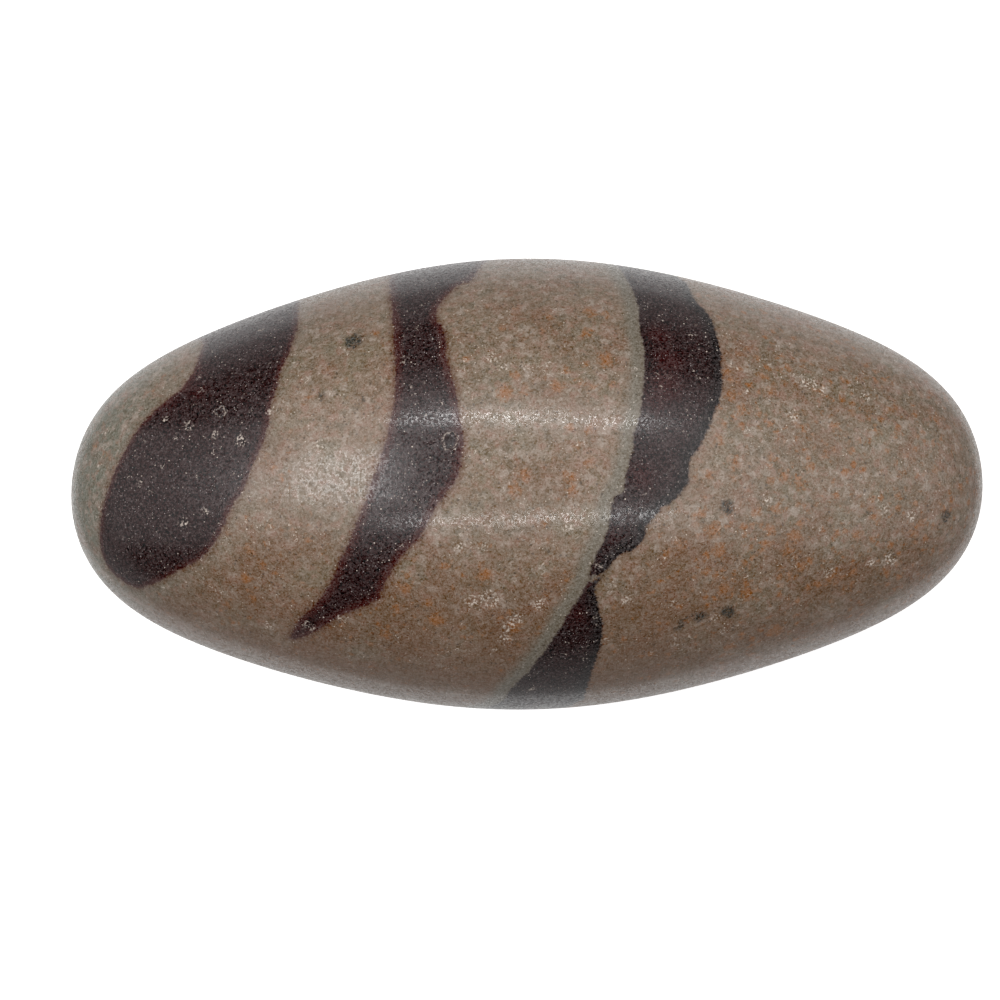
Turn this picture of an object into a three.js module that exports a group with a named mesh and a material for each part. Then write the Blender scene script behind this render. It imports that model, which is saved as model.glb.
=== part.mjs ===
// River pebble: one long, egg-ended stone, rounded by a river and then ground smooth and polished.
// It lies on its side. X runs along the stone, Y across it, and Z up from the surface it rests on.
// The origin is under the middle of the stone, on that surface. Lengths are in millimetres.

import * as THREE from "three";
import { mergeVertices } from "three/addons/utils/BufferGeometryUtils.js";

// The stone's length, and how far each side stands from the long axis at the middle of the stone.
const length = 100.2;
const back = 25.55;
const front = 24.05;
const crown = 23.45;
const belly = 23.25;

// How each side runs from the middle to the tips, as shares of its distance at the middle.
// An ellipse would have zeros: drawIn pulls the flank in half way along, blunt fills out the tips,
// and lean makes the side a little fuller towards the right tip, or towards the left below zero.
const sides = {
  back: { reach: back, lean: -0.011, drawIn: 0.267, blunt: 0.397 },
  front: { reach: front, lean: -0.007, drawIn: 0.228, blunt: 0.357 },
  crown: { reach: crown, lean: -0.006, drawIn: 0.245, blunt: 0.37 },
  belly: { reach: belly, lean: 0.012, drawIn: 0.26, blunt: 0.385 },
};

// The crown and belly aren't quite regular: low swells, a few centimetres across, cross them.
const swell = { height: 0.22, along: 4.4, across: 3.1, shift: 0.7 };

// The belly is worn flat where the stone rests, and rounds into that flat over a narrow blend.
const wornDepth = 0.7;
const wornBlend = 0.12;

// Each edge of a 20-sided ball is divided into this many steps.
const steps = 18;

// How much further out a side lies than the ellipse's height times one, at a place along the axis
// that runs from -1 at the left tip to 1 at the right tip.
function reachAt(side, along) {
  const square = along * along;
  return side.reach * (1 + side.lean * along - side.drawIn * square + side.blunt * square * square);
}

// The height that the low swells add at a place on the ball.
function swellAt(along, across) {
  return swell.height * Math.sin(swell.along * along + swell.shift) * Math.cos(swell.across * across);
}

// Rounds a height into the plane at zero: flat under the blend, unchanged above it.
function wearFlat(height, blend) {
  if (height <= -blend) return 0;
  if (height >= blend) return height;
  return (height + blend) ** 2 / (4 * blend);
}

// Moves a point of a ball of radius 1 to its place on the stone.
function placeOnStone(point) {
  const side = point.y < 0 ? sides.front : sides.back;
  const rise = point.z < 0 ? sides.belly : sides.crown;
  const height = point.z * (reachAt(rise, point.x) + swellAt(point.x, point.y));
  const floor = wornDepth - belly;
  return new THREE.Vector3(
    (point.x * length) / 2,
    point.y * reachAt(side, point.x),
    wearFlat(height - floor, wornBlend),
  );
}

function makeStone() {
  const ball = new THREE.IcosahedronGeometry(1, steps - 1);
  ball.deleteAttribute("normal");
  ball.deleteAttribute("uv");
  const geometry = mergeVertices(ball, 1e-5);
  const places = geometry.attributes.position;
  const point = new THREE.Vector3();
  for (let i = 0; i < places.count; i += 1) {
    point.fromBufferAttribute(places, i).normalize();
    const placed = placeOnStone(point);
    places.setXYZ(i, placed.x, placed.y, placed.z);
  }
  geometry.computeBoundingBox();
  const middle = geometry.boundingBox.getCenter(new THREE.Vector3());
  geometry.translate(-middle.x, -middle.y, 0);
  geometry.computeVertexNormals();
  return geometry;
}

// Fine-grained banded quartz stone: a taupe ground, polished to a satin gloss.
const polishedStone = new THREE.MeshStandardMaterial({
  name: "polished_stone",
  color: 0x8e7a6b,
  roughness: 0.35,
  metalness: 0,
});

const pebble = new THREE.Mesh(makeStone(), polishedStone);
pebble.name = "pebble";

const stone = new THREE.Group();
stone.add(pebble);

export default stone;
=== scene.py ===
# River pebble: one long, egg-ended stone, banded maroon on taupe, ground and polished.
# It lies on its side on a white floor and is seen from straight above. Everything is in metres, in
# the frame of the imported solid: X along the stone, Y across it, Z up. Comments give mm.

import math
import random

import bmesh
import bpy
import numpy as np
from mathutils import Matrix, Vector, noise
from mathutils.bvhtree import BVHTree
from mathutils.kdtree import KDTree


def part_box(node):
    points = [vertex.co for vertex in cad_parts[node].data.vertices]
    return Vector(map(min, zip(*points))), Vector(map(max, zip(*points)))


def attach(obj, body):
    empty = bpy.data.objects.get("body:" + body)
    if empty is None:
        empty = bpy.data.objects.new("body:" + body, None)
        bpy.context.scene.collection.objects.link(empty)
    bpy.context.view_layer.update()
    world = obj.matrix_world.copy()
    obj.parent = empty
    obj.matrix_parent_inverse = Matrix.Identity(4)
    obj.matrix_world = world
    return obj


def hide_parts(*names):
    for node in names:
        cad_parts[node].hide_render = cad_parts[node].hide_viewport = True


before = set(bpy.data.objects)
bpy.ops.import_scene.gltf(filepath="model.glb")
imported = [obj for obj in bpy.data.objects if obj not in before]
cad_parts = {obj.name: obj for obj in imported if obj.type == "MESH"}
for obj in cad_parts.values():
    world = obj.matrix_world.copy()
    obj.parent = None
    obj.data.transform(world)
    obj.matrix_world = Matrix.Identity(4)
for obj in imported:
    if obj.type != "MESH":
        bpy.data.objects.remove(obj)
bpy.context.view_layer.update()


# The camera
# A long lens looks straight down, as on a copy stand. The stone lies a little turned in the
# picture, and the lens is left of its middle and in front of it.
MM = 0.001
LENS_HEIGHT = 600 * MM
WIDEST_HEIGHT = 22.5 * MM
PICTURE_WIDTH = 110.0 * MM
PICTURE_PIXELS = 1000
LENS_ALONG = -2.97 * MM
LENS_ACROSS = -1.71 * MM
STONE_TURN = math.radians(0.92)

camera_data = bpy.data.cameras.new("copy_stand_camera")
camera_data.sensor_width = 36
camera_data.lens = 36 * (LENS_HEIGHT - WIDEST_HEIGHT) / PICTURE_WIDTH
camera_data.clip_start = 10 * MM
camera = bpy.data.objects.new("copy_stand_camera", camera_data)
camera.location = (LENS_ALONG, LENS_ACROSS, LENS_HEIGHT)
camera.rotation_euler = (0, 0, -STONE_TURN)
bpy.context.collection.objects.link(camera)
bpy.context.scene.camera = camera


# The stone's form
# A pebble of fine quartzite, rolled egg-shaped by a river and then ground: blunt tips, flanks
# a little drawn in, low swells on crown and belly, and a small worn flat where it rests.
low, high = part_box("pebble")
HALF_LENGTH = (high.x - low.x) / 2
BACK = 25.55 * MM
FRONT = high.y - low.y - BACK
CROWN = 23.45 * MM
BELLY = 23.25 * MM
SWELL_HEIGHT = 0.22 * MM
WORN_DEPTH = 0.7 * MM
WORN_BLEND = 0.12 * MM
AXIS_ACROSS = (FRONT - BACK) / 2
AXIS_HEIGHT = BELLY - WORN_DEPTH
GRID_ALONG = 186
GRID_ROUND = 96
LEAST_RUN = 1e-4


def reach(middle, lean, draw_in, blunt, along):
    """How far a side stands from the axis: an ellipse has zeros for lean, draw_in and blunt."""
    return middle * (1 + lean * along - draw_in * along**2 + blunt * along**4)


def reaches(along, across, up):
    """How far the stone's flank, and its crown or belly, stand from the axis there."""
    if across < 0:
        side = reach(FRONT, -0.007, 0.228, 0.357, along)
    else:
        side = reach(BACK, -0.011, 0.267, 0.397, along)
    if up < 0:
        rise = reach(BELLY, 0.012, 0.26, 0.385, along)
    else:
        rise = reach(CROWN, -0.006, 0.245, 0.37, along)
    rise += SWELL_HEIGHT * math.sin(4.4 * along + 0.7) * math.cos(3.1 * across)
    return side, rise


def place_on_stone(ball):
    """The place on the stone of a point on a ball of radius 1."""
    along, across, up = ball
    side, rise = reaches(along, across, up)
    height = up * rise + AXIS_HEIGHT
    if height < WORN_BLEND:
        height = max(0.0, height + WORN_BLEND) ** 2 / (4 * WORN_BLEND)
    return Vector((along * HALF_LENGTH, across * side + AXIS_ACROSS, height))


# The grid is a cube's, blown up to a ball, so that it has no poles. Tangents keep its cells even.
stone_mesh = bmesh.new()
bmesh.ops.create_cube(stone_mesh, size=2)
for axis, steps in ((0, GRID_ALONG), (1, GRID_ROUND), (2, GRID_ROUND)):
    runs = [e for e in stone_mesh.edges if abs(e.verts[0].co[axis] - e.verts[1].co[axis]) > LEAST_RUN]
    bmesh.ops.subdivide_edges(stone_mesh, edges=runs, cuts=steps - 1, use_grid_fill=True)
ball_points = []
for vert in stone_mesh.verts:
    ball = Vector(math.tan(c * math.pi / 4) for c in vert.co).normalized()
    ball_points.append(tuple(ball))
    vert.co = place_on_stone(ball)
ball_points = np.array(ball_points)
stone_mesh.normal_update()
stone_mesh.verts.ensure_lookup_table()

surface = BVHTree.FromBMesh(stone_mesh)
near_tree = KDTree(len(stone_mesh.verts))
for vert in stone_mesh.verts:
    near_tree.insert(vert.co, vert.index)
near_tree.balance()


def seen_at(pixels_across, pixels_down):
    """The place on the stone that the lens shows at a pixel of the picture."""
    middle = PICTURE_PIXELS / 2
    aim = Vector((pixels_across - middle, middle - pixels_down, 0)) * PICTURE_WIDTH / PICTURE_PIXELS
    aim.z = WIDEST_HEIGHT - LENS_HEIGHT
    aim.rotate(camera.rotation_euler)
    return surface.ray_cast(camera.location, aim)[0]


def place_round(along_mm, round_deg):
    """The place at so many mm along the stone, and degrees round it from the crown, back first."""
    along = along_mm * MM / HALF_LENGTH
    ring = math.sqrt(1 - along * along)
    turn = math.radians(round_deg)
    return place_on_stone((along, ring * math.sin(turn), ring * math.cos(turn)))


def whereabouts(place):
    """The mm along the stone, and the degrees round it, of a place on it."""
    along = place.x / HALF_LENGTH
    side = reaches(along, place.y - AXIS_ACROSS, 0)[0]
    across = (place.y - AXIS_ACROSS) / side
    rise = reaches(along, across, place.z - AXIS_HEIGHT)[1]
    up = (place.z - AXIS_HEIGHT) / rise
    return place.x / MM, math.degrees(math.atan2(across, up))


# Bruises and pits
# The wheel leaves the surface faintly uneven, by up to 0.03 mm over 4 to 9 mm. Where a grain or a
# flake broke out it didn't reach the bottom, which left shallow pits.
WHEEL_DEPTH = 0.012 * MM
LONG_WAVE = 9 * MM
SHORT_WAVE = 4 * MM
for vert in stone_mesh.verts:
    waves = noise.noise(vert.co / LONG_WAVE) + 0.5 * noise.noise(vert.co / SHORT_WAVE)
    if vert.co.z > WORN_BLEND:
        vert.co -= vert.normal * WHEEL_DEPTH * (1.2 + waves)

# Each pit is put where the picture shows a bruise, a clot or a ring, at pixels across and down.
# That it is a pit, and its radius and depth in mm, are guesses. Those of the far side are made up.
PITS = [
    (450, 441, 1.1, 0.10), (353, 341, 1.2, 0.06), (727, 507, 0.9, 0.12), (946, 516, 0.8, 0.08),
    (676, 538, 0.6, 0.10), (515, 619, 1.3, 0.07), (490, 600, 1.3, 0.06), (812, 385, 1.1, 0.08),
    (729, 364, 0.8, 0.10), (884, 508, 1.0, 0.06), (829, 573, 0.8, 0.07), (890, 560, 1.0, 0.05),
    (220, 412, 0.8, 0.09), (184, 524, 0.8, 0.06), (597, 621, 0.7, 0.10), (715, 618, 1.2, 0.06),
    (866, 396, 0.9, 0.05), (240, 440, 0.9, 0.06), (460, 547, 0.8, 0.06), (677, 641, 0.8, 0.07),
]
HIDDEN_PITS = 9
CHIP_SIZE = 0.6 * MM
dice = random.Random(4)
pits = [(seen_at(across, down), radius, depth) for across, down, radius, depth in PITS]
for _ in range(HIDDEN_PITS):
    middle = place_round(dice.uniform(-38, 38), dice.uniform(105, 255))
    pits.append((middle, dice.uniform(0.6, 1.4), dice.uniform(0.05, 0.1)))
for middle, radius_mm, depth_mm in pits:
    for _, i, distance in near_tree.find_range(middle, radius_mm * MM):
        vert = stone_mesh.verts[i]
        bowl = (1 - (distance / (radius_mm * MM)) ** 2) ** 1.5
        rough = 0.75 + 0.5 * noise.noise(vert.co / CHIP_SIZE)
        vert.co -= vert.normal * depth_mm * MM * bowl * rough


# The bands' edges
# Layers of sand that were rich in iron: dark maroon, with a redder fringe where the iron spread.
# The part of an edge that the picture shows is a curve through pixels read off it, across and
# down. The far side isn't in the picture: there the edge goes on by guess, through mm along the
# stone and degrees round it.
LEFT_BAND = [
    (298, 320), (294, 337), (288, 355), (281, 370), (277, 388), (271, 405), (268, 425), (262, 445),
    (252, 466), (244, 489), (231, 508), (224, 525), (212, 547), (196, 562), (178, 571), (157, 582),
    (137, 588), (120, 579), (105, 562), (100, 540), (102, 510), (111, 480), (124, 452), (137, 430),
    (155, 410), (178, 391), (192, 374), (199, 356), (203, 343),
]
LEFT_BAND_BEHIND = [
    (-36, 82), (-38, 105), (-39, 126), (-39, 146), (-37, 158), (-34, 152), (-30, 134), (-27, 112),
    (-25, 94),
]
MIDDLE_BAND = [
    (390, 290), (393, 320), (394, 340), (395, 360), (395, 380), (394, 400), (390, 420), (386, 440),
    (380, 460), (372, 480), (366, 500), (357, 520), (350, 540), (340, 560), (332, 580), (319, 600),
    (300, 620), (290, 638), (303, 637), (317, 630), (333, 620), (354, 610), (377, 600), (382, 590),
    (392, 570), (407, 550), (418, 540), (429, 520), (441, 500), (456, 480), (461, 460), (464, 440),
    (460, 420), (457, 400), (453, 380), (447, 360), (446, 340), (443, 330), (437, 320), (437, 310),
    (443, 300), (458, 285), (475, 275),
]
MIDDLE_BAND_BEHIND = [
    (-3, 100), (-4, 120), (-9, 146), (-16, 170), (-25, 190), (-31, 207), (-34, 214), (-32, 196),
    (-28, 170), (-22, 142), (-18, 116), (-15, 92),
]
RING_LEFT_EDGE = [
    (504, 700), (510, 690), (530, 670), (545, 650), (559, 630), (570, 610), (578, 600), (588, 580),
    (594, 560), (604, 540), (610, 520), (613, 500), (623, 490), (627, 470), (633, 450), (635, 430),
    (641, 410), (643, 390), (644, 370), (644, 350), (640, 330), (639, 310), (634, 295), (630, 285),
    (624, 275),
]
RING_LEFT_EDGE_BEHIND = [
    (10, 86), (8, 108), (5, 134), (1, 160), (-3, 186), (-7, 214), (-9, 240), (-7, 266), (-4, 283),
]
RING_RIGHT_EDGE = [
    (583, 700), (589, 680), (596, 660), (602, 640), (602, 620), (597, 600), (595, 590), (600, 580),
    (607, 572), (610, 565), (620, 555), (633, 550), (643, 540), (648, 525), (661, 510), (674, 500),
    (684, 490), (689, 480), (690, 460), (698, 450), (708, 430), (716, 410), (722, 390), (722, 370),
    (720, 350), (715, 330), (709, 315), (695, 300), (688, 285), (682, 280),
]
RING_RIGHT_EDGE_BEHIND = [
    (17, 80), (16, 100), (15, 128), (11, 158), (8, 188), (4, 214), (3, 240), (3, 266), (5, 284),
]
# Beside each edge: about how wide its red fringe is, in mm, where 0.15 or less shows none, and how
# far the ground there is bleached, from 0 to 1.
EDGES = [
    (LEFT_BAND, LEFT_BAND_BEHIND, 0.45, 0.25),
    (MIDDLE_BAND, MIDDLE_BAND_BEHIND, 0.60, 0.0),
    (RING_LEFT_EDGE, RING_LEFT_EDGE_BEHIND, 0.08, 1.0),
    (RING_RIGHT_EDGE, RING_RIGHT_EDGE_BEHIND, 0.15, 0.0),
]
STEPS_BETWEEN = 12
FULL_TURN = 360


def smooth_loop(points):
    """Samples along a closed curve through the points. A ring ends a full turn on."""
    points = np.array(points)
    turn = np.array([0, FULL_TURN if points[-1][1] - points[0][1] > FULL_TURN / 2 else 0])
    before = np.vstack([points[-1] - turn, points[:-1]])
    after = np.vstack([points[1:], points[0] + turn])
    after_next = np.vstack([points[2:], points[0] + turn, points[1] + turn])
    samples = []
    for step in np.arange(STEPS_BETWEEN) / STEPS_BETWEEN:
        samples.append(0.5 * (
            2 * points
            + (after - before) * step
            + (2 * before - 5 * points + 4 * after - after_next) * step**2
            + (3 * points - before - 3 * after + after_next) * step**3
        ))
    samples = np.stack(samples, 1).reshape(-1, 2)
    return np.vstack([samples, samples[0] + turn])


# A point is in a band if a walk along the stone from the left tip crosses an odd number of edges
# before it. Its depth is its distance to the nearest edge, below zero outside.
ball_along = ball_points[:, 0] * HALF_LENGTH / MM
ball_round = np.degrees(np.arctan2(ball_points[:, 1], ball_points[:, 2]))
crossings = np.zeros(len(ball_points), int)
edge_samples = []
for seen, behind, fringe_mm, bleach in EDGES:
    samples = smooth_loop([whereabouts(seen_at(*pixel)) for pixel in seen] + behind)
    edge_samples += [(place_round(*sample), fringe_mm, bleach) for sample in samples[:-1]]
    for start, end in zip(samples[:-1], samples[1:]):
        if start[1] == end[1]:
            continue
        for turned in (ball_round - FULL_TURN, ball_round, ball_round + FULL_TURN):
            spans = (turned >= min(start[1], end[1])) & (turned < max(start[1], end[1]))
            edge_along = start[0] + (end[0] - start[0]) * (turned - start[1]) / (end[1] - start[1])
            crossings += spans & (edge_along < ball_along)
inside = crossings % 2 == 1

edge_tree = KDTree(len(edge_samples))
for i, sample in enumerate(edge_samples):
    edge_tree.insert(sample[0], i)
edge_tree.balance()
band_depth = np.zeros(len(ball_points))
fringe = np.zeros(len(ball_points))
bleached = np.zeros(len(ball_points))
for vert in stone_mesh.verts:
    _, nearest, distance = edge_tree.find(vert.co)
    band_depth[vert.index] = distance / MM * (1 if inside[vert.index] else -1)
    fringe[vert.index] = edge_samples[nearest][1]
    bleached[vert.index] = edge_samples[nearest][2]


# Freckles, clots, crumbs and rings
# Freckles are specks of iron ore that rusted into the stone round them. Clots are of a dark green
# mineral. Crumbs are patches of broken white grains, and rings are flakes half struck off. The
# middle of each is read off the picture, pixels across and down. Its radius, in mm, is judged.
# Those of the far side are made up.
FRECKLES = [
    (787, 368, 0.4), (770, 392, 0.4), (765, 376, 0.4), (727, 372, 0.4), (730, 395, 0.5), (741, 409, 0.4),
    (889, 409, 0.4), (877, 431, 0.4), (803, 429, 0.4), (836, 425, 0.4), (735, 461, 0.5), (811, 466, 0.5),
    (784, 476, 0.5), (801, 485, 0.4), (720, 440, 0.4), (709, 475, 0.4), (938, 420, 0.4), (758, 511, 0.4),
    (777, 508, 0.5), (770, 530, 0.5), (795, 536, 0.7), (713, 531, 0.7), (719, 550, 0.7), (766, 544, 0.4),
    (788, 550, 0.5), (801, 567, 0.5), (724, 590, 0.7), (748, 594, 0.7), (848, 588, 0.4), (886, 572, 0.4),
    (913, 533, 0.5), (923, 523, 0.5), (875, 515, 0.5), (774, 631, 0.8), (729, 647, 0.6), (857, 535, 0.4),
    (832, 578, 0.4), (707, 572, 0.4), (680, 545, 0.5), (667, 554, 0.5), (502, 327, 0.4), (586, 332, 0.7),
    (590, 312, 0.8), (606, 315, 0.5), (605, 360, 0.9), (612, 382, 0.4), (588, 364, 0.4), (557, 386, 0.7),
    (565, 370, 0.4), (505, 393, 0.9), (515, 375, 0.5), (525, 392, 0.5), (467, 358, 0.4), (592, 388, 0.4),
    (578, 382, 0.4), (570, 427, 0.4), (588, 430, 0.4), (550, 316, 0.4), (571, 478, 0.6), (590, 462, 0.6),
    (577, 445, 0.4), (525, 475, 0.7), (515, 490, 0.7), (572, 490, 0.6), (545, 523, 0.4), (485, 575, 0.9),
    (462, 573, 0.4), (445, 565, 0.4), (408, 575, 0.4), (405, 587, 0.7), (570, 580, 0.4), (430, 603, 0.6),
    (397, 610, 0.6), (437, 620, 0.9), (385, 635, 0.7), (515, 627, 0.7), (268, 525, 0.4), (248, 550, 0.5),
    (308, 540, 0.4), (262, 565, 0.4), (245, 578, 0.7), (253, 598, 0.4), (228, 605, 0.4), (308, 398, 0.4),
    (266, 455, 0.4), (273, 468, 0.4), (95, 445, 0.4), (105, 455, 0.4), (376, 333, 0.4), (698, 514, 0.5),
]
CLOTS = [
    (353, 341, 1.0), (727, 507, 0.7), (946, 516, 0.7), (870, 512, 0.3), (700, 617, 0.7), (691, 617, 0.2),
    (683, 622, 0.5), (696, 621, 0.2), (677, 629, 0.3), (728, 612, 0.8), (322, 396, 0.4), (362, 400, 0.3),
]
CRUMBS = [
    (346, 333, 0.3), (347, 348, 0.3), (503, 367, 0.6), (492, 357, 0.7), (527, 366, 0.4), (548, 365, 0.4),
    (693, 335, 0.4), (597, 618, 0.4), (597, 626, 0.3), (607, 639, 0.3), (626, 600, 0.6), (515, 619, 0.8),
    (508, 628, 0.8), (490, 600, 1.1), (472, 602, 0.8), (540, 604, 0.9), (505, 640, 0.7), (568, 527, 0.6),
    (485, 547, 0.4), (460, 547, 0.6), (205, 512, 0.4), (184, 524, 0.6), (240, 440, 0.7), (215, 435, 0.4),
    (188, 426, 0.6), (165, 420, 0.4), (140, 483, 0.3), (98, 467, 0.3), (97, 518, 0.3), (107, 431, 0.6),
    (125, 428, 0.4), (165, 588, 0.4), (268, 625, 0.6), (308, 626, 0.7), (340, 618, 0.4), (729, 364, 0.4),
    (737, 369, 0.3), (769, 401, 0.3), (793, 415, 0.7), (812, 385, 0.9), (803, 381, 0.7), (822, 391, 0.6),
    (866, 396, 0.7), (852, 388, 0.4), (795, 560, 0.4), (829, 573, 0.6), (872, 563, 0.6), (890, 560, 0.9),
    (912, 515, 0.7), (884, 508, 0.7), (768, 500, 0.6), (715, 618, 0.6), (722, 631, 0.4), (733, 627, 0.3),
    (676, 637, 0.4), (676, 645, 0.3), (690, 636, 0.4), (674, 603, 0.3), (598, 567, 0.4), (604, 570, 0.3),
    (269, 413, 0.4), (320, 446, 0.6), (676, 538, 0.3), (532, 689, 0.4), (612, 585, 0.4), (402, 363, 0.2),
    (406, 357, 0.3), (423, 384, 0.2), (411, 385, 0.2),
]
RINGS = [(450, 441, 1.0), (220, 412, 0.7)]
# Where a band is redder: overlapping circles laid over the heart of the ring, and over the
# rusty corner of the left band.
RED_HEARTS = [
    (658, 335, 1.3), (668, 360, 1.6), (665, 385, 1.8), (655, 400, 1.2), (640, 475, 1.2), (611, 535, 0.6),
    (573, 615, 1.1), (590, 585, 0.8), (196, 372, 1.2), (186, 384, 1.1), (168, 404, 0.8), (198, 392, 0.8),
]
HIDDEN_MARKS = 26
MARK_REACH = 2.5
NO_MARK = -9.0


def depths_in(marks, least, most):
    """How far each point lies inside the rim of the nearest mark, in mm. Marks of least to most mm
    are scattered over the far side."""
    places = [(seen_at(across, down), radius) for across, down, radius in marks]
    for _ in range(HIDDEN_MARKS):
        behind = place_round(dice.uniform(-44, 44), dice.uniform(95, 265))
        places.append((behind, dice.uniform(least, most)))
    depth = np.full(len(ball_points), NO_MARK)
    for middle, radius in places:
        for _, i, distance in near_tree.find_range(middle, (radius + MARK_REACH) * MM):
            depth[i] = max(depth[i], radius - distance / MM)
    return depth


# A hairline crack, healed with stone about as pale as the ground, crosses the ring at its waist.
# Each point near it gets its distance to the crack's plane.
CRACK_MIDDLE = (599, 576)
CRACK_SIDES = ((596, 569), (602, 584))
crack = np.full(len(ball_points), NO_MARK)
crack_middle = seen_at(*CRACK_MIDDLE)
crack_across = (seen_at(*CRACK_SIDES[1]) - seen_at(*CRACK_SIDES[0])).normalized()
for _, i, distance in near_tree.find_range(crack_middle, MARK_REACH * MM):
    crack[i] = (stone_mesh.verts[i].co - crack_middle).dot(crack_across) / MM

pebble_mesh = bpy.data.meshes.new("banded_pebble")
stone_mesh.to_mesh(pebble_mesh)
stone_mesh.free()
pebble_mesh.shade_smooth()
for name, values in (
    ("band_depth", band_depth),
    ("fringe", fringe),
    ("bleached", bleached),
    ("freckles", depths_in(FRECKLES, 0.3, 0.8)),
    ("clots", depths_in(CLOTS, 0.2, 0.7)),
    ("crumbs", depths_in(CRUMBS, 0.3, 1.0)),
    ("rings", depths_in(RINGS, 0.0, 0.6)),
    ("red_hearts", depths_in(RED_HEARTS, 1.0, 2.4)),
    ("crack", crack),
):
    attribute = pebble_mesh.attributes.new(name, "FLOAT", "POINT")
    attribute.data.foreach_set("value", values.astype(np.float32))
pebble = bpy.data.objects.new("banded_pebble", pebble_mesh)
bpy.context.collection.objects.link(pebble)
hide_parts("pebble")
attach(pebble, "root")


# The polished stone
# Fine quartzite: quartz sand of 0.1 to 0.3 mm, pressed into stone, ground and polished. Each grain
# takes the polish its own way, and a broken one takes it least, so that a lamp shows as a line of
# sparkles. Quartz has an index of 1.54, and it is set a little lower here, which makes the veil on
# the bands fainter.
POLISH_IOR = 1.5

# How coarse each pattern is, in mm: the length of its waves, or the width of the cells that hold
# one mark or grain each.
RAGGED = 0.5
CLOUD = 11
PATCH = 4
MOTTLE = 0.95
SWARM = 5.5
FRECKLE = 1.0
CEMENT = 0.26
SAND = 0.20
FINE_SAND = 0.12
SALT = 0.22
BRUISE = 3.2
DOT = 0.38
CRESCENT = 1.3
WAVE = 2.2

# The ground's colours, then the rust's and the bands', then those of the small marks.
TAUPE = "#836f5e"
DARK_TAUPE = "#7a6a59"
TIP_GREY = "#717266"
GREENISH = "#786f5c"
BROWNISH = "#826453"
PINK = "#917466"
OLIVE = "#665b4b"
PALE = "#a09185"
BLEACHED = "#766f63"
STAINED = "#5f4334"
RUST_CLOUD = "#735540"
RUST = "#90623f"
MAROON = "#2d1413"
HEART_RED = "#391210"
BAND_BLACK = "#1f1918"
FRINGE_RED = "#47211b"
CLOT_GREEN = "#22251f"
# Pale grains on the bands, and painted glints of grains there.
SALT_AND_GLINT_GREY = "#bcb2b0"
RING_DARK = "#1a1314"
# The white of crushed quartz, and of the painted glints of the dots.
CRUSHED_AND_GLINT_WHITE = "#d8cabd"
SPECK_DARK = "#2a221d"


def linear(hex_colour):
    """An sRGB hex colour as linear RGBA."""
    channels = [int(hex_colour[i:i + 2], 16) / 255 for i in (1, 3, 5)]
    return [c / 12.92 if c <= 0.04045 else ((c + 0.055) / 1.055) ** 2.4 for c in channels] + [1]


stone = bpy.data.materials.new("polished_banded_quartzite")
stone.use_nodes = True
tree = stone.node_tree
tree.nodes.clear()


def add(kind, *feeds, **settings):
    """Adds a node. Settings in lower case are the node's own, and those with a capital name an
    input. The feeds go to its open inputs in order. Each is a number, a hex colour or a link."""
    node = tree.nodes.new("ShaderNode" + kind)
    for name, value in settings.items():
        if name[0].islower():
            setattr(node, name, value)
    open_inputs = [socket for socket in node.inputs if socket.enabled]
    given = list(zip(open_inputs, feeds))
    given += [(node.inputs[name], value) for name, value in settings.items() if name[0].isupper()]
    for socket, value in given:
        if isinstance(value, bpy.types.Node):
            value = [output for output in value.outputs if output.enabled][0]
        if isinstance(value, bpy.types.NodeSocket):
            tree.links.new(value, socket)
        else:
            socket.default_value = linear(value) if isinstance(value, str) else value
    return node


SMOOTH = {"interpolation_type": "SMOOTHSTEP"}
COLOURS = {"data_type": "RGBA"}
TIMES = {"operation": "MULTIPLY"}
PLUS = {"operation": "ADD"}

# Places on the stone in mm, and the same places stirred by about 0.2 mm. The stirring roughens
# most outlines over half a mm.
place = add("TexCoord").outputs["Object"]
place = add("VectorMath", place, Scale=1 / MM, operation="SCALE")
stir = add("TexNoise", place, Scale=1 / RAGGED, Detail=1)
stir = add("VectorMath", stir.outputs["Color"], (0.5, 0.5, 0.5), operation="SUBTRACT")
stirred = add("VectorMath", place, stir, **PLUS)
ragged = add("SeparateXYZ", stir)

# The ground: taupe, greyer towards the left tip, clouded over a centimetre, with greenish and brown
# patches of a few mm, and mottled pink, olive and pale over about 1 mm.
clouds = add("TexNoise", place, Scale=1 / CLOUD, Detail=3)
colour = add("MapRange", clouds, 0.35, 0.65, **SMOOTH)
colour = add("Mix", colour, TAUPE, DARK_TAUPE, **COLOURS)
along = add("SeparateXYZ", place).outputs["X"]
left_tip = add("MapRange", along, -34.0, -47.0, 0, 0.9, **SMOOTH)
colour = add("Mix", left_tip, colour, TIP_GREY, **COLOURS)
patches = add("TexNoise", stirred, Scale=1 / PATCH, Detail=3)
greenish = add("MapRange", patches, 0.52, 0.68, 0, 0.5, **SMOOTH)
colour = add("Mix", greenish, colour, GREENISH, **COLOURS)
brownish = add("MapRange", patches, 0.46, 0.32, 0, 0.6, **SMOOTH)
colour = add("Mix", brownish, colour, BROWNISH, **COLOURS)
mottles = add("TexNoise", stirred, Scale=1 / MOTTLE, Detail=1)
mottles = add("SeparateColor", mottles.outputs["Color"])
pink = add("MapRange", mottles.outputs["Green"], 0.50, 0.72, 0, 0.6, **SMOOTH)
colour = add("Mix", pink, colour, PINK, **COLOURS)
olive = add("MapRange", mottles.outputs["Green"], 0.50, 0.28, 0, 0.6, **SMOOTH)
colour = add("Mix", olive, colour, OLIVE, **COLOURS)
pale = add("MapRange", mottles.outputs["Blue"], 0.50, 0.75, 0, 0.7, **SMOOTH)
colour = add("Mix", pale, colour, PALE, **COLOURS)

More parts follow.
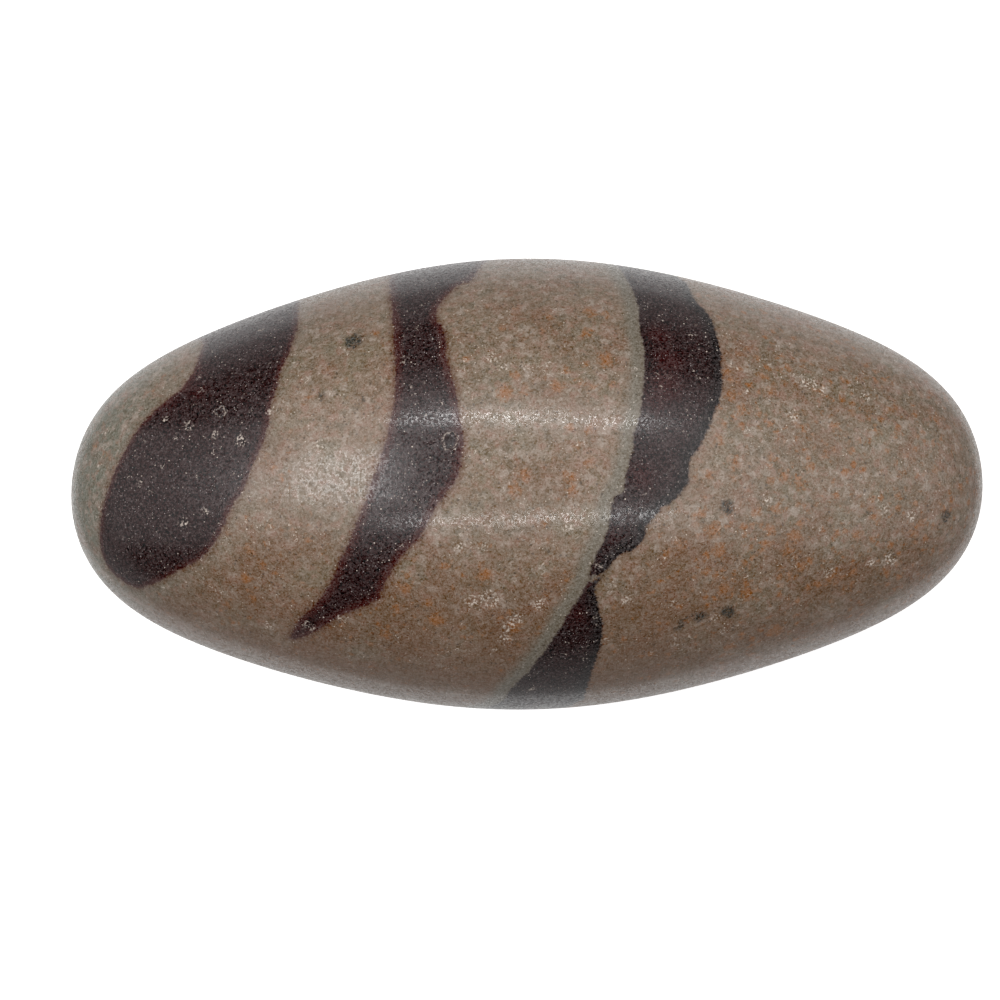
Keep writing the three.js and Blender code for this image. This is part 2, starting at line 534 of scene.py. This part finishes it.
# Rust: brown clouds that thicken towards the front, then soft freckles in swarms, larger towards the
# right tip.
across = add("SeparateXYZ", place).outputs["Y"]
to_front = add("MapRange", across, 0.0, -21.0, 0, 0.30, **SMOOTH)
to_right = add("MapRange", along, 10.0, 24.0, 0, 0.14, **SMOOTH)
swarms = add("TexNoise", place, Scale=1 / SWARM, Detail=3)
swarms = add("Math", swarms, to_front, **PLUS)
blush = add("MapRange", swarms, 0.46, 0.86, 0, 0.65, **SMOOTH)
colour = add("Mix", blush, colour, RUST_CLOUD, **COLOURS)
cells = add("TexVoronoi", stirred, Scale=1 / FRECKLE)
cell_random = add("SeparateColor", cells.outputs["Color"])
cell_radius = add("MapRange", cell_random, 0.25, 1.0, 0.0, 0.36)
small_freckles = add("Math", cell_radius, cells, operation="SUBTRACT")
small_freckles = add("Math", small_freckles, to_right, **PLUS)
small_freckles = add("MapRange", small_freckles, -0.16, 0.34, **SMOOTH)
in_swarm = add("MapRange", add("Math", swarms, to_right, **PLUS), 0.44, 0.66, 0.1, 1)
small_freckles = add("Math", small_freckles, in_swarm, **TIMES)
freckles = add("Attribute", attribute_name="freckles")
frayed = add("Math", ragged.outputs["X"], 1.8, **TIMES)
freckles = add("Math", freckles.outputs["Fac"], frayed, **PLUS)
freckles = add("Math", freckles, to_right, **PLUS)
freckles = add("MapRange", freckles, -0.32, 0.60, 0, 0.9, **SMOOTH)
rusty = add("MapRange", mottles, 0.35, 0.65, 0.65, 1)
rust = add("Math", freckles, small_freckles, operation="MAXIMUM")
rust = add("Math", rust, rusty, **TIMES)
colour = add("Mix", rust, colour, RUST, **COLOURS)

# Clots of dark green mineral, broken up by the grain.
grain = add("TexNoise", place, Scale=1 / CEMENT, Detail=2)
clots = add("Attribute", attribute_name="clots")
clots = add("Math", clots.outputs["Fac"], ragged.outputs["Y"], **PLUS)
clots = add("MapRange", clots, -0.30, 0.30, **SMOOTH)
clots = add("Math", clots, add("MapRange", grain, 0.35, 0.60, 0.3, 1), **TIMES)
colour = add("Mix", clots, colour, CLOT_GREEN, **COLOURS)

# Beside a band the ground is bleached of rust for about 2 mm, or stained brown for about 1 mm.
depth = add("Attribute", attribute_name="band_depth").outputs["Fac"]
fringe = add("Attribute", attribute_name="fringe").outputs["Fac"]
bleached = add("Attribute", attribute_name="bleached").outputs["Fac"]
depth = add("Math", depth, add("Math", ragged.outputs["Z"], 0.6, **TIMES), **PLUS)
bleaching = add("MapRange", depth, -2.4, -0.8, 0, 0.95, **SMOOTH)
bleaching = add("Math", bleaching, bleached, **TIMES)
colour = add("Mix", bleaching, colour, BLEACHED, **COLOURS)
stain = add("MapRange", depth, -0.9, -0.05, **SMOOTH)
stain = add("Math", stain, add("MapRange", fringe, 0.0, 0.6, 0.05, 0.65), **TIMES)
colour = add("Mix", stain, colour, STAINED, **COLOURS)

# The bands: maroon with redder hearts, near black along the ring's right edge, and dark red along
# an edge that has a fringe.
hearts = add("Attribute", attribute_name="red_hearts")
hearts = add("MapRange", hearts.outputs["Fac"], -1.2, 1.2, **SMOOTH)
band_colour = add("Mix", hearts, MAROON, HEART_RED, **COLOURS)
plain_edge = add("MapRange", fringe, 0.4, 0.15)
blackened = add("MapRange", depth, 2.0, 0.3, 0, 0.75, **SMOOTH)
blackened = add("Math", blackened, plain_edge, **TIMES)
blackened = add("Math", blackened, add("MapRange", bleached, 0.5, 1.0, 1, 0.2), **TIMES)
band_colour = add("Mix", blackened, band_colour, BAND_BLACK, **COLOURS)
red_edge = add("Math", depth, fringe, operation="DIVIDE")
red_edge = add("MapRange", red_edge, 2.1, 0.3, 0, 0.85, **SMOOTH)
red_edge = add("Math", red_edge, add("MapRange", fringe, 0.15, 0.5), **TIMES)
band_colour = add("Mix", red_edge, band_colour, FRINGE_RED, **COLOURS)
in_band = add("MapRange", depth, -0.2, 0.2, **SMOOTH)
crack = add("Attribute", attribute_name="crack").outputs["Fac"]
crack = add("Math", crack, ragged.outputs["Y"], **PLUS)
crack = add("Math", crack, operation="ABSOLUTE")
beside_crack = add("MapRange", crack, 0.05, 0.40, 0.2, 1, **SMOOTH)
in_band = add("Math", in_band, beside_crack, **TIMES)
colour = add("Mix", in_band, colour, band_colour, **COLOURS)

# The sand itself. Each grain is a little lighter or darker than the next, by more on the pale ground
# than on the bands, and there in a slightly warm tint. Part of this is painted glints: the sparkle of
# grains that catch the lamps, painted into the colour.
grains = add("TexVoronoi", place, Scale=1 / SAND)
grain_random = add("SeparateColor", grains.outputs["Color"])
fine = add("TexNoise", place, Scale=1 / FINE_SAND, Detail=1)
grain_tone_and_painted_glint = add("MapRange", fine, 0.35, 0.65, -0.014, 0.014, clamp=False)
grain_tone_and_painted_glint = add("Math", grain_tone_and_painted_glint, add("MapRange", grain_random, 0, 1, -0.016, 0.016), **PLUS)
grain_tone_and_painted_glint = add("Math", grain_tone_and_painted_glint, add("MapRange", grain, 0.3, 0.7, -0.016, 0.016, clamp=False), **PLUS)
grain_tone_and_painted_glint = add("Math", grain_tone_and_painted_glint, add("MapRange", in_band, 0, 1, 2.3, 1.6), **TIMES)
tint = add("Mix", in_band, (1.04, 1.0, 0.96, 1), (1, 1, 1, 1), **COLOURS)
grain_tone_and_painted_glint = add("VectorMath", tint, Scale=grain_tone_and_painted_glint, operation="SCALE")
colour = add("VectorMath", colour, grain_tone_and_painted_glint, **PLUS)

# On the dark bands the palest grains show as grey salt, and with them painted glints: grains that
# catch the lamps, painted into the colour.
salt_and_painted_glint = add("TexVoronoi", place, Scale=1 / SALT)
salt_random = add("SeparateColor", salt_and_painted_glint.outputs["Color"])
salt_radius = add("MapRange", salt_random, 0.62, 1, 0.0, 0.27)
salt_and_painted_glint = add("Math", salt_radius, salt_and_painted_glint, operation="SUBTRACT")
salt_and_painted_glint = add("MapRange", salt_and_painted_glint, 0.0, 0.08, 0, 0.9)
salt_and_painted_glint = add("Math", salt_and_painted_glint, in_band, **TIMES)
colour = add("Mix", salt_and_painted_glint, colour, SALT_AND_GLINT_GREY, **COLOURS)

# Bruises: dots of crushed quartz up to 0.2 mm across, which also serve as painted glints of grains
# that catch the lamps, and the little crescents that pebbles knock into each other, both thickest in
# swarms, and the broken white grains of the crumbs.
crumbs = add("Attribute", attribute_name="crumbs")
crumbs = add("Math", crumbs.outputs["Fac"], ragged.outputs["X"], **PLUS)
crumbs = add("MapRange", crumbs, -0.25, 0.35, **SMOOTH)
bruised = add("TexNoise", place, Scale=1 / BRUISE, Detail=2)
bruised = add("MapRange", bruised, 0.36, 0.64, 0.2, 1.0, **SMOOTH)
dots = add("TexVoronoi", place, Scale=1 / DOT)
dot_random = add("SeparateColor", dots.outputs["Color"])
dot_radius = add("MapRange", dot_random, 0.35, 1, 0.0, 0.25)
dot_and_painted_glint_share = add("Math", dot_radius, dots, operation="SUBTRACT")
dot_and_painted_glint_share = add("MapRange", dot_and_painted_glint_share, 0.0, 0.08, 0, 0.9)
dot_and_painted_glint_share = add("Math", dot_and_painted_glint_share, bruised, **TIMES)
crescents = add("TexVoronoi", stirred, Scale=1 / CRESCENT)
crescent_random = add("SeparateColor", crescents.outputs["Color"])
crescent_radius = add("MapRange", crescent_random, 0, 1, 0.07, 0.22)
crescent_line = add("Math", crescents, crescent_radius, operation="SUBTRACT")
crescent_line = add("Math", crescent_line, operation="ABSOLUTE")
crescent_line = add("MapRange", crescent_line, 0.035, 0.01)
way_out = add("VectorMath", stirred, crescents.outputs["Position"], operation="SUBTRACT")
lean = add("VectorMath", crescents.outputs["Color"], (0.5, 0.5, 0.5), operation="SUBTRACT")
half = add("VectorMath", way_out, lean, operation="DOT_PRODUCT").outputs["Value"]
half = add("MapRange", half, 0.02, 0.10)
crescent_share = add("Math", crescent_line, half, **TIMES)
crescent_share = add("Math", crescent_share, bruised, **TIMES)
crescent_share = add("Math", crescent_share, 0.8, **TIMES)
crumb_share = add("MapRange", grain, 0.52, 0.62)
crumb_share = add("Math", crumb_share, crumbs, **TIMES)
crumb_share = add("Math", crumb_share, 0.75, **TIMES)
white = add("Math", dot_and_painted_glint_share, crescent_share, operation="MAXIMUM")
white = add("Math", white, crumb_share, operation="MAXIMUM")

# A flake half struck off leaves a ring-shaped crack: a groove, white along its broken edge, and
# dark inside where the stone is a band.
rings = add("Attribute", attribute_name="rings").outputs["Fac"]
in_ring = add("MapRange", rings, 0.25, 0.55, 0, 0.6, **SMOOTH)
in_ring = add("Math", in_ring, in_band, **TIMES)
colour = add("Mix", in_ring, colour, RING_DARK, **COLOURS)
off_ring = add("Math", rings, 0.15, operation="SUBTRACT")
off_ring = add("Math", off_ring, add("Math", ragged.outputs["X"], 0.9, **TIMES), **PLUS)
off_ring = add("Math", off_ring, operation="ABSOLUTE")
ring_share = add("MapRange", off_ring, 0.13, 0.03, 0, 0.5)
ring_share = add("Math", ring_share, add("MapRange", grain, 0.44, 0.60, 0.1, 1), **TIMES)
white = add("Math", white, ring_share, operation="MAXIMUM")
# The crushed white of the bruises, crumbs and rings, and the painted glints of the dots.
colour = add("Mix", white, colour, CRUSHED_AND_GLINT_WHITE, **COLOURS)
# Sparse grains darker than the rest.
dark_specks = add("Math", grain_random.outputs["Blue"], 0.985, operation="GREATER_THAN")
dark_specks = add("Math", dark_specks, 0.5, **TIMES)
colour = add("Mix", dark_specks, colour, SPECK_DARK, **COLOURS)

# The polish. Grains differ from glossy to dull, and broken ones are duller still. The surface
# follows faint waves 2 mm long and a few thousandths of a mm deep, and the grains make it about as
# uneven again.
roughness = add("MapRange", grain_random.outputs["Green"], 0.1, 0.9, 0.12, 0.45)
roughness = add("Math", roughness, add("Math", white, 0.2, **TIMES), **PLUS)
waves = add("TexNoise", place, Scale=1 / WAVE, Detail=1)
relief = add("Math", add("Math", waves, 0.006, **TIMES), add("Math", grain, 0.003, **TIMES), **PLUS)
relief = add("Math", relief, add("Math", fine, 0.005, **TIMES), **PLUS)
groove = add("MapRange", off_ring, 0.0, 0.22, -0.05, 0, **SMOOTH)
relief = add("Math", relief, groove, **PLUS)
bump = add("Bump", Height=relief.outputs[0], Distance=MM)
shader = add("BsdfPrincipled", colour, Roughness=roughness.outputs[0], IOR=POLISH_IOR,
             Normal=bump.outputs[0])
add("OutputMaterial", shader)
pebble.data.materials.append(stone)


# The floor
# Plain white paper that glows as on a light table, so that the stone's shadow stays faint. Only the
# camera sees it. The stone is lit from below by a grey table, and its polish also mirrors a white
# card just under it, which makes a thin pale line along its rims. The floor ends before the tent's
# walls, and what the camera sees behind it is as white.
FLOOR_HALF = 0.55
TABLE_HALF = 3.0


def lay_sheet(name, half_along, middle_across, half_across, height, sheet_colour, glow):
    """A sheet of matt paper. glow is how bright it shines by itself, where 1 is white."""
    sheet_mesh = bmesh.new()
    bmesh.ops.create_grid(sheet_mesh, x_segments=1, y_segments=1, size=1)
    bmesh.ops.scale(sheet_mesh, vec=(half_along, half_across, 1), verts=sheet_mesh.verts)
    bmesh.ops.translate(sheet_mesh, vec=(0, middle_across, height), verts=sheet_mesh.verts)
    data = bpy.data.meshes.new(name)
    sheet_mesh.to_mesh(data)
    sheet_mesh.free()
    sheet = bpy.data.objects.new(name, data)
    bpy.context.collection.objects.link(sheet)
    paper = bpy.data.materials.new("matt_paper_" + name)
    paper.use_nodes = True
    paper_shader = paper.node_tree.nodes["Principled BSDF"]
    paper_shader.inputs["Base Color"].default_value = linear(sheet_colour)
    paper_shader.inputs["Roughness"].default_value = 0.95
    paper_shader.inputs["Specular IOR Level"].default_value = 0.2
    paper_shader.inputs["Emission Color"].default_value = linear("#ffffff")
    paper_shader.inputs["Emission Strength"].default_value = glow
    data.materials.append(paper)
    return sheet


floor = lay_sheet("floor", FLOOR_HALF, 0, FLOOR_HALF, 0, "#f2f1ef", 0.7)
floor.visible_diffuse = False
floor.visible_glossy = False
floor.visible_shadow = False
table = lay_sheet("grey_table", TABLE_HALF, 0, TABLE_HALF, -2 * MM, "#a8a8a8", 0)
table.visible_camera = False
card = lay_sheet("white_card", 72 * MM, 9 * MM, 64 * MM, -1 * MM, "#e6e6e6", 0.22)
card.visible_camera = False
card.visible_diffuse = False
card.visible_shadow = False


# The light
# A photo tent: two rows of lamps in its roof, behind and before the lens, a shorter one at its
# left, and a roof and three walls that glow. The polish shows the two rows as lines of sparkles.
# The camera doesn't see the lamps, so it looks through the roof.
ROOF_HEIGHT = 545 * MM


def add_lamp(name, place, aim, size_x, size_y, radiance):
    """A glowing panel. radiance is its brightness, where 1 is white paper in the picture."""
    data = bpy.data.lights.new(name, "AREA")
    data.shape = "RECTANGLE"
    data.size = size_x
    data.size_y = size_y
    data.energy = math.pi * size_x * size_y * radiance
    lamp = bpy.data.objects.new(name, data)
    lamp.location = place
    lamp.rotation_mode = "QUATERNION"
    lamp.rotation_quaternion = (Vector(aim) - Vector(place)).to_track_quat("-Z", "Y")
    bpy.context.collection.objects.link(lamp)
    lamp.visible_camera = False


middle = (0, 0, 45 * MM)
add_lamp("back_row", (0, 0.357, ROOF_HEIGHT), middle, 0.52, 0.02, 33)
add_lamp("front_row", (0, -0.138, ROOF_HEIGHT), middle, 0.48, 0.02, 20)
add_lamp("left_row", (-0.30, 0.08, ROOF_HEIGHT), (-0.30, 0.08, 0), 0.13, 0.26, 7.5)
add_lamp("roof", (0, 0.18, ROOF_HEIGHT), (0, 0.18, 0), 0.9, 0.8, 0.44)
add_lamp("right_wall", (0.62, 0, 0.45), middle, 1.0, 1.0, 0.85)
add_lamp("left_wall", (-0.66, 0.05, 0.4), middle, 1.0, 1.0, 0.75)
add_lamp("back_wall", (0, 0.65, 0.6), middle, 1.2, 0.4, 0.5)

world = bpy.data.worlds.new("tent_walls")
world.use_nodes = True
world.node_tree.nodes["Background"].inputs["Color"].default_value = (1, 1, 1, 1)
world.node_tree.nodes["Background"].inputs["Strength"].default_value = 1.1
world.cycles_visibility.diffuse = False
world.cycles_visibility.glossy = False
bpy.context.scene.world = world
bpy.context.scene.view_settings.view_transform = "Standard"
